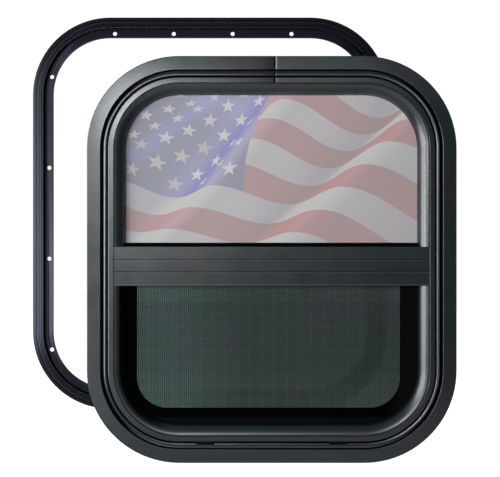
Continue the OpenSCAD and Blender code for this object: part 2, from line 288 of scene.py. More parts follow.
def frame_joint(m, colour):
    """Painted highlight on the edge just right of the section's joint, and the flange darkens towards the joint from
    its left.
    """
    x = m.xyz()[0]
    z = m.xyz()[2]
    # painted highlight: a light strip just right of the joint, on the upper edge and on the flange
    near = m.math("MULTIPLY", m.range(x, 0.0053, 0.0056), m.range(x, 0.0068, 0.0078, 1.0, 0.0))
    high = m.range(z, 0.5060, 0.5090, 0.0, 0.24)
    flange = m.range(z, 0.5270, 0.5282, 0.0, 0.30)
    painted_edge_highlight = m.math("MULTIPLY", near, m.math("ADD", high, flange))
    # the flange darkens towards the joint from its left
    darker_left_of_joint = m.math("MULTIPLY", m.math("MULTIPLY", m.range(x, -0.016, 0.003, smooth=True), m.range(x, 0.0050, 0.0053, 1.0, 0.0)), m.range(z, 0.5060, 0.5090))
    c = m.mix(m.math("MULTIPLY", darker_left_of_joint, 0.9), colour, (0.0012, 0.0014, 0.0015))
    # painted highlight along the ridge's crown on the right side
    d = m.inset(0.0, MID, HW, HH, RC)
    crown = m.range(m.math("ABSOLUTE", m.math("SUBTRACT", d, 0.0257)), 0.0011, 0.0019, 1.0, 0.0)
    painted_ridge_highlight = m.math("MULTIPLY", crown, m.range(x, 0.110, 0.215, 0.0, 0.42, smooth=True))
    c = m.mix(painted_ridge_highlight, c, (0.12, 0.13, 0.135))
    return m.mix(painted_edge_highlight, c, (0.27, 0.285, 0.29))


def frame_gloss(m):
    """At the top, the section's two ends differ a little in gloss either side of the joint."""
    x, y, z = m.xyz()[0:3]
    left = m.math("MULTIPLY", m.range(x, -0.10, -0.005, 0.012, -0.050), m.range(x, 0.0050, 0.0053, 1.0, 0.0))
    right = m.math("MULTIPLY", m.range(x, 0.0050, 0.0053), m.range(x, 0.01, 0.12, 0.045, 0.070))
    return m.math("MULTIPLY", m.math("ADD", left, right), m.range(z, 0.46, 0.50))


def band_crown(m):
    """The front band is very slightly dished towards its outer edge, as the flange is."""
    return m.range(m.inset(0.0, MID, HW, HH, RC), 0.0300, 0.0368, 0.0, 0.00058)


TEAL, VIOLET = (0.0078, 0.0128, 0.0140), (0.0104, 0.0112, 0.0142)
frame_mat = powder_coat("frame_satin_black", TEAL, VIOLET, extra=frame_joint, gloss=frame_gloss, crown=band_crown)


def deep_shade(m, colour):
    """Painted shade: darker down in the recess."""
    y = m.xyz()[1]
    k = m.range(y, -0.005, 0.006, smooth=True)
    return m.mix(m.math("MULTIPLY", k, 0.85), colour, (0.0012, 0.0014, 0.0015))


def painted_top_light_deep_shade(m, colour):
    """Painted light: the upper bead's top run is lighter on its curve, and the recess also gets deep_shade's painted
    shade.
    """
    z = m.xyz()[2]
    d = m.inset(0.0, MID, HW, HH, RC)
    k = m.math("MULTIPLY", m.range(z, 0.455, 0.495, smooth=True), m.range(d, 0.0400, 0.0435, smooth=True))
    return m.mix(m.math("MULTIPLY", k, 0.85), deep_shade(m, colour), (0.026, 0.029, 0.030))


bead_mat = powder_coat("bead_satin_black", TEAL, (0.0100, 0.0112, 0.0130), rough=0.275, extra=painted_top_light_deep_shade)
seam_mat = powder_coat("bead_seam_dull", (0.0040, 0.0060, 0.0064), (0.0050, 0.0056, 0.0064), rough=0.45, spec=0.16)


def low_shade(m, colour):
    """Painted shade: the lower bead's left return is dull and dark from half way in."""
    x = m.xyz()[0]
    d = m.inset(0.0, MID, HW, HH, RC)
    k = m.math("MULTIPLY", m.range(d, 0.0405, 0.0462, smooth=True), m.range(x, -0.125, -0.185, smooth=True))
    c = m.mix(m.math("MULTIPLY", k, 0.97), colour, (0.0003, 0.0003, 0.0004))
    return deep_shade(m, c)


low_bead_mat = powder_coat("low_bead_satin_black", TEAL, (0.0100, 0.0112, 0.0130), rough=0.31, extra=low_shade)
# a shaded copy of the lower bead's finish, low in gloss, for painted shade in the left recess
shaded_bead_mat = powder_coat("low_bead_recess_painted_shade", TEAL, (0.0100, 0.0112, 0.0130), rough=0.50, spec=0.03, extra=low_shade)


def rail_lines(m, colour):
    """Painted highlights on the lower edge of the rail's pressed lines; at its ends, a painted shadow on the left and a
    painted highlight on the right.
    """
    x, y, z = m.xyz()[0:3]
    front = m.range(y, -0.0042, -0.0046)
    c = colour
    for at in (0.26575, 0.24945, 0.23285):
        line = m.math("MULTIPLY", m.math("MULTIPLY", m.range(z, at - 0.0011, at - 0.0008), m.range(z, at - 0.0004, at, 1.0, 0.0)), front)
        c = m.mix(m.math("MULTIPLY", line, 0.30 if at > 0.24 else 0.55), c, (0.055, 0.066, 0.068))
    left = m.range(x, -0.2159, -0.2164)
    right = m.range(x, 0.2160, 0.2165)
    c = m.mix(m.math("MULTIPLY", left, 0.95), c, (0.0006, 0.0006, 0.0007))
    return m.mix(m.math("MULTIPLY", right, 0.45), c, (0.06, 0.066, 0.068))


rail_mat = powder_coat("rail_satin_black", (0.0070, 0.0118, 0.0126), (0.0098, 0.0106, 0.0122), rough=0.225, spec=0.46, extra=rail_lines)


def ring_finish():
    """Black ring: drawn lines along the section, a purple cast, and fine grit."""
    m = Mat("ring_black_drawn").set(spec=0.12)
    m.b.inputs["Specular Tint"].default_value = (0.80, 0.84, 1.0, 1.0)
    d = m.inset(-0.0850, 0.3308, 0.2475, 0.273, 0.108)
    lines = m.lines(d, 2300.0, 2.0, 0.7)
    drift = m.noise(9.0, 2.0, 0.5)
    fleck = m.noise(1900.0, 1.0, 0.5)
    base = m.mix(m.range(drift, 0.40, 0.62, smooth=True), (0.0066, 0.0068, 0.0108), (0.0084, 0.0080, 0.0120))

    def at(centre, half):
        return m.range(m.math("ABSOLUTE", m.math("SUBTRACT", d, centre)), half * 0.5, half, 1.0, 0.0, smooth=True)

    # painted shade in the drawn grooves, and a painted highlight along the ribs between them
    low = m.math("MAXIMUM", m.math("MAXIMUM", at(0.0051, 0.0009), at(0.0094, 0.0009)), at(0.0132, 0.0010))
    painted_ridge_highlight = m.math("MAXIMUM", at(0.0074, 0.0009), at(0.0145, 0.0007))
    base = m.mix(m.math("MULTIPLY", low, 0.85), base, (0.0012, 0.0012, 0.0020))
    base = m.mix(m.math("MULTIPLY", painted_ridge_highlight, 0.6), base, (0.020, 0.021, 0.029))
    # painted shade: the left side is darker and duller higher up; beside the step it is dullest and darkest, a painted
    # shadow of the step
    x, y, z = m.xyz()[0:3]
    left = m.range(x, -0.262, -0.302, smooth=True)
    high = m.range(z, 0.25, 0.49)
    inner = m.range(d, 0.0172, 0.0176)
    n = m.node("ShaderNodeVectorMath", operation="SCALE")
    m.link(base, n.inputs[0])
    tone = m.math("MULTIPLY", m.math("MULTIPLY_ADD", lines, 0.55, 0.72), m.math("MULTIPLY_ADD", fleck, 0.3, 0.85))
    tone = m.math("MULTIPLY", tone, m.math("MULTIPLY_ADD", m.math("MULTIPLY", high, left), -0.80, 1.0))
    beside = m.math("MULTIPLY", m.math("MULTIPLY", m.range(d, 0.0178, 0.0255, 1.0, 0.0), inner), left)
    tone = m.math("MULTIPLY", tone, m.math("MULTIPLY_ADD", beside, -0.80, 1.0))
    m.link(tone, n.inputs["Scale"])
    m.to(n.outputs[0], "Base Color")
    away = m.math("MULTIPLY", m.range(d, 0.0176, 0.0285, 0.10, 0.0), m.math("MULTIPLY_ADD", high, 0.7, 0.3))
    away = m.math("MULTIPLY", m.math("ADD", away, m.range(d, 0.0178, 0.0215, 0.28, 0.0)), inner)
    dull = m.math("ADD", m.math("MULTIPLY_ADD", high, 0.05, m.range(z, 0.15, 0.27, -0.04, 0.0)), away)
    r = m.math("ADD", m.math("MULTIPLY_ADD", lines, 0.06, 0.24), m.math("MULTIPLY", low, 0.06))
    m.to(m.math("ADD", r, m.math("MULTIPLY", left, dull)), "Roughness")
    # the left side leans in a little towards its top, and is rolled down beside the step
    lean = m.math("MULTIPLY", m.math("MULTIPLY", high, left), m.math("MULTIPLY", d, -0.12))
    rolled = m.math("MULTIPLY", m.range(d, 0.0176, 0.0230, 0.0, -0.0010), left)
    b1 = m.bump(lines, 0.00001, 0.35, m.bump(m.math("ADD", lean, rolled), 1.0))
    m.to(m.bump(m.noise(900.0, 2.0, 0.5), 0.000012, 0.25, b1), "Normal")
    return m.m


def rubber(name, tone=0.008, rough=0.62):
    m = Mat(name).set(spec=0.008)
    a = m.noise(420.0, 3.0, 0.6)
    n = m.mix(m.range(a, 0.35, 0.7), (tone * 0.7, tone * 0.7, tone * 0.72), (tone * 1.5, tone * 1.5, tone * 1.55))
    m.to(n, "Base Color")
    m.to(m.math("MULTIPLY_ADD", a, 0.18, rough - 0.09), "Roughness")
    m.to(m.bump(m.noise(2200.0, 2.0, 0.6), 0.00002, 0.7), "Normal")
    return m.m


def moulded(name):
    m = Mat(name).set(spec=0.42)
    cells = m.voronoi(1500.0)
    a = m.noise(90.0, 2.0, 0.5)
    m.to(m.mix(a, (0.010, 0.010, 0.011), (0.018, 0.018, 0.020)), "Base Color")
    m.to(m.math("MULTIPLY_ADD", cells, 0.12, 0.44), "Roughness")
    m.to(m.bump(cells, 0.00004, 0.5), "Normal")
    return m.m


def screen_black():
    """Screen frame: smooth black, with painted light on its lower lip and right border."""
    m = Mat("screen_frame_black").set(spec=0.006)
    a = m.noise(60.0, 3.0, 0.5)
    x, y, z = m.xyz()[0:3]
    c = m.mix(a, (0.0002, 0.0002, 0.0003), (0.0004, 0.0004, 0.0005))
    # painted light: the lower lip and the right border are lighter
    painted_light_lip_and_border = m.math("MULTIPLY", m.range(z, 0.0395, 0.0410), m.range(z, 0.0485, 0.0500, 1.0, 0.0))
    painted_light_lip_and_border = m.math("MAXIMUM", painted_light_lip_and_border, m.range(x, 0.150, 0.186, smooth=True))
    m.to(m.mix(painted_light_lip_and_border, c, (0.0021, 0.0022, 0.0026)), "Base Color")
    m.to(m.math("MULTIPLY_ADD", a, 0.12, 0.40), "Roughness")
    m.to(m.bump(m.noise(1500.0, 2.0, 0.5), 0.00002, 0.5), "Normal")
    return m.m


def steel(name):
    m = Mat(name).set(metal=1.0)
    v = m.mapped(scale=(40, 900, 900))
    s = m.noise(3.0, 4.0, 0.6, v)
    m.to(m.mix(s, (0.36, 0.36, 0.37), (0.56, 0.56, 0.57)), "Base Color")
    m.to(m.math("MULTIPLY_ADD", s, 0.25, 0.28), "Roughness")
    m.to(m.bump(s, 0.00003, 0.4), "Normal")
    return m.m


def tinted_glass(name, tint, rough=0.02):
    """Dark tinted pane; the tint drifts a little and the faces carry faint wipe marks."""
    m = Mat(name).set(trans=1.0, ior=1.5, spec=0.5)
    a = m.noise(5.0, 2.0, 0.5)
    t2 = [c * 1.12 for c in tint]
    m.to(m.mix(a, tint, t2), "Base Color")
    wipe = m.noise(1.0, 4.0, 0.6, m.mapped(scale=(18, 18, 70), rot=(0, 0.5, 0)))
    m.to(m.range(wipe, 0.35, 0.8, rough, rough + 0.06), "Roughness")
    return m.m


def pile():
    m = Mat("pile_fibres").set(spec=0.2, sheen=0.35, sheen_rough=0.5)
    v = m.mapped(scale=(2600, 60, 60))
    s = m.noise(1.0, 3.0, 0.7, v)
    m.to(m.mix(s, (0.006, 0.006, 0.007), (0.030, 0.030, 0.032)), "Base Color")
    m.to(m.math("MULTIPLY_ADD", s, 0.15, 0.75), "Roughness")
    m.to(m.bump(s, 0.0002, 0.8), "Normal")
    return m.m


def groove_floor():
    """The wide groove beside the ridge: painted shade black at its outer side, with painted light on the floor along
    the top and bottom runs.
    """
    m = Mat("groove_floor_painted_shade_and_light").set(spec=0.008)
    z = m.xyz()[2]
    d = m.inset(0.0, MID, HW, HH, RC)
    a = m.noise(420.0, 3.0, 0.6)
    inner = m.range(d, 0.0209, 0.0214)
    c = m.mix(a, (0.0006, 0.0006, 0.0006), (0.0012, 0.0012, 0.0013))
    # painted light: the inner floor is lighter along the top run, and more so along the bottom run
    c = m.mix(m.math("MULTIPLY", inner, m.range(z, 0.500, 0.522)), c, (0.017, 0.018, 0.019))
    c = m.mix(m.math("MULTIPLY", inner, m.range(z, 0.040, 0.012)), c, (0.055, 0.060, 0.063))
    m.to(c, "Base Color")
    m.to(m.math("MULTIPLY_ADD", a, 0.18, 0.56), "Roughness")
    m.to(m.bump(m.noise(2200.0, 2.0, 0.6), 0.00002, 0.7), "Normal")
    return m.m


ring_mat = ring_finish()
groove_floor_mat = groove_floor()
rubber_mat = rubber("black_rubber_matt")
seal_mat = rubber("seal_rubber_deep", 0.0007, 0.70)
groove_mat = rubber("groove_shade_black", 0.0009, 0.65)
# a less dark copy of the painted shade black, for the top run of the ring's step
top_step_shade_mat = rubber("ring_top_step_painted_shade", 0.0050, 0.60)
plastic_mat = moulded("moulded_black")
screen_mat = screen_black()
steel_mat = steel("plain_steel_brushed")
glass_mat = tinted_glass("dark_pane", (0.008, 0.0115, 0.011))
pile_mat = pile()

finish = {
    "outer_frame": frame_mat, "glazing_ledge": frame_mat, "frame_splice_plate": steel_mat,
    "upper_glazing_bead": bead_mat, "lower_glazing_bead": low_bead_mat, "glazing_gasket": seal_mat,
    "glazing_tape": rubber_mat, "fixed_glass": glass_mat, "meeting_rail": rail_mat,
    "glass_seal_strip": seal_mat, "screen_frame": screen_mat, "screen_spline": rubber_mat,
    "screen_pull_tabs": plastic_mat, "sash_glass": glass_mat, "sash_top_rail": frame_mat,
    "sash_bottom_rail": frame_mat, "sash_latch_left": plastic_mat, "sash_latch_right": plastic_mat,
    "latch_keeper_left": steel_mat, "latch_keeper_right": steel_mat, "left_track": plastic_mat,
    "right_track": plastic_mat, "sill_track": plastic_mat, "meeting_pile": pile_mat,
    "sash_edge_seal": rubber_mat, "clamp_ring": ring_mat}
for name, mat in finish.items():
    slots = N[name].material_slots
    for s in slots:
        s.link = "OBJECT"
        s.material = mat


# ---------------------------------------------------------------- smooth rolled edges
def smoothing_group(angle):
    g = bpy.data.node_groups.new("smooth_rolled_edges", "GeometryNodeTree")
    g.interface.new_socket("Geometry", in_out="INPUT", socket_type="NodeSocketGeometry")
    g.interface.new_socket("Geometry", in_out="OUTPUT", socket_type="NodeSocketGeometry")
    i, o = g.nodes.new("NodeGroupInput"), g.nodes.new("NodeGroupOutput")
    merge = g.nodes.new("GeometryNodeMergeByDistance")
    merge.inputs["Distance"].default_value = 2e-6
    drop = g.nodes.new("GeometryNodeRemoveAttribute")
    drop.inputs["Name"].default_value = "custom_normal"
    faces = g.nodes.new("GeometryNodeSetShadeSmooth")
    faces.domain = "FACE"
    edges = g.nodes.new("GeometryNodeSetShadeSmooth")
    edges.domain = "EDGE"
    edges.inputs["Shade Smooth"].default_value = False
    ang = g.nodes.new("GeometryNodeInputMeshEdgeAngle")
    cmp = g.nodes.new("FunctionNodeCompare")
    cmp.data_type = "FLOAT"
    cmp.operation = "GREATER_THAN"
    cmp.inputs[1].default_value = math.radians(angle)
    L = g.links.new
    L(i.outputs[0], merge.inputs[0])
    L(merge.outputs[0], drop.inputs[0])
    L(drop.outputs[0], faces.inputs[0])
    L(faces.outputs[0], edges.inputs[0])
    L(ang.outputs["Unsigned Angle"], cmp.inputs[0])
    L(cmp.outputs[0], edges.inputs["Selection"])
    L(edges.outputs[0], o.inputs[0])
    return g


group = smoothing_group(32)
for name in ("outer_frame", "upper_glazing_bead", "lower_glazing_bead", "clamp_ring", "glazing_gasket",
             "screen_frame", "sash_edge_seal", "sill_track", "glazing_ledge"):
    md = N[name].modifiers.new("smooth", "NODES")
    md.node_group = group
    wn = N[name].modifiers.new("flats", "WEIGHTED_NORMAL")
    wn.mode = "FACE_AREA"
    wn.weight = 50
    wn.keep_sharp = True


def groove_group(name, cx, cz, hw, hh, r, zones, mat=None, x_max=9.0, z_min=-9.0):
    """Gives faces of a swept section within the given zones another material, by default the painted shade black for
    narrow grooves: (in from, in to, y from, y to).
    """
    g = bpy.data.node_groups.new(name, "GeometryNodeTree")
    g.interface.new_socket("Geometry", in_out="INPUT", socket_type="NodeSocketGeometry")
    g.interface.new_socket("Geometry", in_out="OUTPUT", socket_type="NodeSocketGeometry")
    i, o = g.nodes.new("NodeGroupInput"), g.nodes.new("NodeGroupOutput")
    sep = g.nodes.new("ShaderNodeSeparateXYZ")
    g.links.new(g.nodes.new("GeometryNodeInputPosition").outputs[0], sep.inputs[0])

    def op(kind, a, b=None):
        n = g.nodes.new("ShaderNodeMath")
        n.operation = kind
        for k, v in ((0, a), (1, b)):
            if isinstance(v, bpy.types.NodeSocket):
                g.links.new(v, n.inputs[k])
            elif v is not None:
                n.inputs[k].default_value = v
        return n.outputs[0]

    ax = op("SUBTRACT", op("ABSOLUTE", op("SUBTRACT", sep.outputs[0], cx)), hw - r)
    az = op("SUBTRACT", op("ABSOLUTE", op("SUBTRACT", sep.outputs[2], cz)), hh - r)
    ox, oz = op("MAXIMUM", ax, 0.0), op("MAXIMUM", az, 0.0)
    far = op("SQRT", op("ADD", op("MULTIPLY", ox, ox), op("MULTIPLY", oz, oz)))
    d = op("SUBTRACT", r, op("ADD", far, op("MINIMUM", op("MAXIMUM", ax, az), 0.0)))
    y = sep.outputs[1]

    def within(v, a, b):
        return op("MULTIPLY", op("GREATER_THAN", v, a), op("LESS_THAN", v, b))

    picked = None
    for a, b, y0, y1 in zones:
        z = op("MULTIPLY", within(d, a, b), within(y, y0, y1))
        picked = z if picked is None else op("MAXIMUM", picked, z)
    picked = op("MULTIPLY", picked, op("LESS_THAN", sep.outputs[0], x_max))
    picked = op("MULTIPLY", picked, op("GREATER_THAN", sep.outputs[2], z_min))
    put = g.nodes.new("GeometryNodeSetMaterial")
    put.inputs["Material"].default_value = mat or groove_mat
    g.links.new(i.outputs[0], put.inputs["Geometry"])
    g.links.new(picked, put.inputs["Selection"])
    g.links.new(put.outputs[0], o.inputs[0])
    return g


# painted shade: the frame's narrow grooves get the black shade material, the wide groove its floor material
md = N["outer_frame"].modifiers.new("grooves", "NODES")
md.node_group = groove_group("groove_faces", 0.0, MID, HW, HH, RC,
                             [(0.02742, 0.02972, -0.0056, -0.0003), (0.02550, 0.02750, -0.0048, -0.0010)])
md = N["outer_frame"].modifiers.new("wide_groove", "NODES")
md.node_group = groove_group("wide_groove_faces", 0.0, MID, HW, HH, RC, [(0.01870, 0.02375, -0.0039, -0.0003)], groove_floor_mat)
# painted shade: the ring's step gets the black shade material, a less dark copy along its top run
md = N["clamp_ring"].modifiers.new("step", "NODES")
md.node_group = groove_group("ring_step_faces", -0.0850, 0.3308, 0.2475, 0.273, 0.108,
                             [(0.01488, 0.01758, 0.0402, 0.0466)])
md = N["clamp_ring"].modifiers.new("top_step", "NODES")
md.node_group = groove_group("ring_top_step_faces", -0.0850, 0.3308, 0.2475, 0.273, 0.108,
                             [(0.01488, 0.01758, 0.0402, 0.0466)], top_step_shade_mat, z_min=0.566)
# painted shade: the lower bead's recess on the left gets the shaded copy
md = N["lower_glazing_bead"].modifiers.new("recess", "NODES")
md.node_group = groove_group("bead_recess_faces", 0.0, MID, HW, HH, RC, [(0.0462, 0.0540, -0.0060, 0.0120)], shaded_bead_mat, -0.150)
for name in ("upper_glazing_bead", "lower_glazing_bead"):
    md = N[name].modifiers.new("seam", "NODES")
    md.node_group = groove_group(name + "_seam_faces", 0.0, MID, HW, HH, RC, [(0.0371, 0.0389, -0.0090, -0.0068)], seam_mat)


# ---------------------------------------------------------------- mesh helpers
def mesh_object(name, verts, faces, mats, smooth=False):
    me = bpy.data.meshes.new(name)
    me.from_pydata([tuple(v) for v in verts], [], faces)
    me.update()
    ob = collection_add(bpy.data.objects.new(name, me))
    for m in mats:
        me.materials.append(m)
    if smooth:
        me.polygons.foreach_set("use_smooth", [True] * len(me.polygons))
    return ob


def quick_mesh(name, co, quads, mats):
    """A mesh from numpy arrays of points and quads or triangles."""
    me = bpy.data.meshes.new(name)
    k = quads.shape[1]
    me.vertices.add(len(co))
    me.vertices.foreach_set("co", np.asarray(co, np.float32).ravel())
    me.loops.add(quads.size)
    me.loops.foreach_set("vertex_index", quads.astype(np.int32).ravel())
    me.polygons.add(len(quads))
    me.polygons.foreach_set("loop_start", np.arange(0, quads.size, k, dtype=np.int32))
    me.polygons.foreach_set("loop_total", np.full(len(quads), k, np.int32))
    me.update(calc_edges=True)
    me.validate()
    ob = collection_add(bpy.data.objects.new(name, me))
    for m in mats:
        me.materials.append(m)
    return ob


# ---------------------------------------------------------------- the flag print
# The stripes are contour lines of a "level" that rises up the flag: whole levels are
# the borders between stripes. Five key lines carry it across: crests and troughs of
# the cloth's waves, which lean to the right as the level rises. Layout units: U.
U = 1.372e-3


def key_lines(j):
    t1 = (-131.75 + 18.5 * j + np.interp(j, [3, 4, 5, 6, 7, 8], [0, -22, -26, -14, -5, 0]), 27.3 + 17.3 * j)
    c1 = (-104.25 + 24.5 * j - 0.85 * j * j, 30.7 + 21.8 * j + np.interp(j, [2, 3, 4, 5, 6, 7], [0, 0.8, 3.4, 2.2, -0.5, 0]))
    t2 = (-25.75 + 23.6 * j - 0.65 * j * j, 16.0 + 20.3 * j - 0.35 * j * j + np.interp(j, [6, 7, 8, 9], [0, 1.5, 6, 9]))
    c2 = (22.15 + 24.6 * j - 0.2 * j * j, 27.3 + 22.8 * j)
    return [(t1[0] - 70, t1[1] + 20), t1, c1, t2, c2, (c2[0] + 115, c2[1] - 47)]


def wave(x, j):
    """Height of level j at x, and the phase: 1 and 3 are troughs, 2 and 4 crests."""
    k = key_lines(j)
    h = np.zeros_like(x) + k[0][1]
    p = np.zeros_like(x)
    for i in range(5):
        u = np.clip((x - k[i][0]) / (k[i + 1][0] - k[i][0]), 0, 1)
        here = x > k[i][0]
        h = np.where(here, k[i][1] + (k[i + 1][1] - k[i][1]) * (1 - np.cos(np.pi * u)) / 2, h)
        p = np.where(here, i + u, p)
    return h, p


def level_of(x, y):
    lo, hi = np.full_like(x, -3.0), np.full_like(x, 12.0)
    for _ in range(44):
        m = (lo + hi) / 2
        above = wave(x, m)[0] < y
        lo, hi = np.where(above, m, lo), np.where(above, hi, m)
    m = (lo + hi) / 2
    return m, wave(x, m)[1]


INK = np.array([0.985, 0.925, 0.905])     # the ink's own cast under the studio's cool light


def ramp(t, stops):
    """Colours between stops of (place, 0-255 colour), in linear light."""
    xs = [s[0] for s in stops]
    cs = np.array([srgb(*s[1]) for s in stops]) * INK
    return np.stack([np.interp(t, xs, cs[:, i]) for i in range(3)], -1)


WHITE = [(0.0, (174, 175, 178)), (0.5, (172, 173, 177)), (0.8, (171, 172, 176)), (0.95, (180, 181, 184)),
         (1.05, (185, 186, 188)), (1.2, (190, 190, 190)), (1.95, (190, 190, 189)), (2.05, (186, 187, 187)),
         (2.17, (174, 175, 177)), (2.4, (177, 177, 179)), (2.65, (175, 174, 177)), (2.8, (171, 170, 174)),
         (2.95, (164, 163, 169)), (3.05, (167, 166, 171)), (3.18, (180, 181, 182)), (3.33, (190, 190, 189)), (3.95, (191, 191, 190)),
         (4.05, (182, 184, 185)), (4.18, (172, 173, 175)), (4.5, (169, 168, 172)), (5.0, (162, 160, 166))]
RED = [(0.0, (163, 143, 145)), (0.8, (165, 144, 147)), (0.95, (174, 147, 151)), (1.1, (180, 145, 150)),
       (1.5, (182, 146, 151)), (1.7, (184, 151, 157)), (1.95, (182, 159, 165)), (2.06, (174, 152, 156)),
       (2.16, (164, 143, 145)), (2.45, (167, 144, 146)), (2.8, (163, 143, 145)), (2.97, (158, 142, 143)),
       (3.08, (161, 142, 143)), (3.25, (173, 143, 144)), (3.4, (181, 143, 144)), (3.7, (183, 144, 145)),
       (3.85, (182, 147, 150)), (3.97, (181, 150, 154)), (4.07, (168, 143, 146)), (4.2, (162, 143, 145)),
       (4.5, (164, 143, 145)), (5.0, (159, 142, 144))]


def canton_tint(x, y):
    """Blue field: grey in the hollow, violet on the slopes, one sharp fold to the right."""
    fold = -6.75 - 0.765 * (162.5 - y)        # x of the fold at this height
    w = x - fold
    c = ramp(w, [(-200, (144, 143, 156)), (-52, (143, 143, 155)), (-36, (145, 144, 161)), (-24, (151, 149, 172)),
                 (-14, (153, 151, 178)), (-8, (149, 147, 180)), (-3, (141, 138, 184)), (0, (138, 134, 187)), (3.5, (141, 138, 186)),
                 (7, (158, 157, 184)), (12, (166, 166, 186)), (18, (155, 154, 174)), (25, (145, 143, 158)), (60, (143, 142, 155))])
    band = x - (-143 + 1.30 * (y - 99.5))     # second slope, upper left
    k = np.exp(-(band / 15.0) ** 2) * np.clip((y - 84) / 18, 0, 1) * 0.62
    v = np.array(srgb(150, 145, 181))
    c = c * (1 - k[..., None]) + v * k[..., None]
    k = np.exp(-((x + 62) / 18.0) ** 2 - ((y - 158) / 13.0) ** 2) * 0.5
    c = c * (1 - k[..., None]) + np.array(srgb(160, 158, 187)) * k[..., None]
    k = np.exp(-((x + 32) / 11.0) ** 2 - ((y - 150) / 12.0) ** 2) * 0.35
    c = c * (1 - k[..., None]) + np.array(srgb(165, 165, 190)) * k[..., None]
    return c * [0.955, 1.0, 1.03]


def flag_print():
    y0, y1 = N_film_z[0], N_film_z[1]
    nx, ny = 330, 176
    zs = np.linspace(y0, y1, ny + 1)
    half_w, top = HW - 0.0405, HH - 0.0405
    r = RC - 0.0405
    over = np.clip(zs - (top - r), 0, r)
    halfs = half_w - r + np.sqrt(np.maximum(r * r - over * over, 0))
    s = np.linspace(-1, 1, nx + 1)
    X = halfs[:, None] * s[None, :]
    Z = np.repeat(zs[:, None], nx + 1, 1)
    ux, uy = (X / U).ravel(), (Z / U).ravel()
    lev, ph = level_of(ux, uy)
    # the stripe beside the blue field's top corner is all red
    corner = (lev > 6.95) & (ph < 1.2) & (ux > -30)
    lev, ph = np.where(corner, 6.4, lev), np.where(corner, 1.8, ph)
    # the bright slope starts later high up the flag
    late = np.clip((lev - 1.5) / 2.0, 0, 1) * 0.13
    ph2 = np.where((ph > 3.0) & (ph < 4.0), np.where(ph < 3.0 + late, 3.0, 3.0 + (ph - 3.0 - late) / (1 - late)), ph)
    white, red, blue = ramp(ph2, WHITE), ramp(ph2, RED), canton_tint(ux, uy)
    edge = -28.75 + 0.003 * np.clip(uy - 70.5, 0, None) ** 2 - ux
    front, back = FILM_Y[0], FILM_Y[1]
    n = (nx + 1) * (ny + 1)
    co = np.stack([X.ravel(), np.full(n, front), Z.ravel() + MID], -1)
    i = np.arange(ny)[:, None] * (nx + 1) + np.arange(nx)[None, :]
    i = i.ravel()
    quads = np.stack([i, i + 1, i + nx + 2, i + nx + 1], -1)
    # outline, anticlockwise seen from the front: bottom, right, top, left
    loop = [k for k in range(nx + 1)] + [(k + 1) * (nx + 1) + nx for k in range(ny)] + \
           [ny * (nx + 1) + nx - 1 - k for k in range(nx)] + [(ny - 1 - k) * (nx + 1) for k in range(ny - 1)]
    loop = np.array(loop)
    rim = co[loop].copy()
    rim[:, 1] = back
    m = len(loop)
    a = np.arange(m)
    sides = np.stack([loop[a], n + a, n + (a + 1) % m, loop[(a + 1) % m]], -1)
    me = bpy.data.meshes.new("flag_film_print")
    allco = np.concatenate([co, rim])
    faces = quads.tolist() + sides.tolist() + [[n + m - 1 - k for k in range(m)]]
    me.from_pydata(allco.tolist(), [], faces)
    for nm, arr in (("print_white", white), ("print_red", red), ("print_blue", blue)):
        at = me.attributes.new(nm, "FLOAT_COLOR", "POINT")
        full = np.ones((len(allco), 4), np.float32)
        full[:n, :3] = arr
        at.data.foreach_set("color", full.ravel())
    for nm, arr in (("level", lev), ("canton", edge)):
        at = me.attributes.new(nm, "FLOAT", "POINT")
        full = np.zeros(len(allco), np.float32)
        full[:n] = arr
        at.data.foreach_set("value", full)
    idx = np.zeros(len(faces), np.int32)
    idx[len(quads):] = 1
    me.polygons.foreach_set("material_index", idx)
    me.update()
    ob = collection_add(bpy.data.objects.new("flag_film_print", me))
    return ob


PRINT_GAIN = 0.67      # takes the display tones to the print's own albedo


def print_material():
    m = Mat("printed_film").set(spec=0.30)
    lev, canton = m.attr("level"), m.attr("canton")
    half = m.math("MULTIPLY", lev, 0.5)
    saw = m.math("FRACT", m.math("ADD", half, 50.0))
    # 0..0.5 is a red stripe, 0.5..1 a white one; no red below level 0
    up = m.range(saw, 0.497, 0.503)
    wrap = m.math("ADD", m.range(saw, 0.0, 0.004, 1.0, 0.0), m.range(saw, 0.996, 1.0))
    white_here = m.math("MAXIMUM", up, wrap, clamp=True)
    white_here = m.math("MAXIMUM", white_here, m.range(lev, -0.008, 0.004, 1.0, 0.0))
    stripes = m.mix(white_here, m.attr("print_red", "Color"), m.attr("print_white", "Color"))
    in_canton = m.math("MULTIPLY", m.range(lev, 1.99, 2.01), m.range(canton, -0.25, 0.25))
    c = m.mix(in_canton, stripes, m.attr("print_blue", "Color"))
    # printing ink: very fine screen and a faint mottle
    mottle = m.noise(120.0, 3.0, 0.6)
    fine = m.noise(2400.0, 1.0, 0.5)
    g = m.math("MULTIPLY", m.math("MULTIPLY_ADD", mottle, 0.05, 0.975), m.math("MULTIPLY_ADD", fine, 0.06, 0.97))
    n = m.node("ShaderNodeVectorMath", operation="SCALE")
    m.link(c, n.inputs[0])
    # painted light and shade: the print is darker towards the left and lighter towards the right
    across = m.range(m.xyz()[0], -0.21, 0.21, PRINT_GAIN * 0.90, PRINT_GAIN * 1.08)
    m.link(m.math("MULTIPLY", g, across), n.inputs["Scale"])
    m.to(n.outputs[0], "Base Color")
    m.to(m.math("MULTIPLY_ADD", mottle, 0.10, 0.45), "Roughness")
    m.to(m.bump(m.noise(900.0, 2.0, 0.5), 0.000015, 0.5), "Normal")
    return m.m


def film_back():
    m = Mat("film_black_back").set(spec=0.25)
    a = m.noise(300.0, 2.0, 0.5)
    m.to(m.mix(a, (0.004, 0.004, 0.004), (0.008, 0.008, 0.009)), "Base Color")
    m.to(m.math("MULTIPLY_ADD", a, 0.2, 0.5), "Roughness")
    return m.m


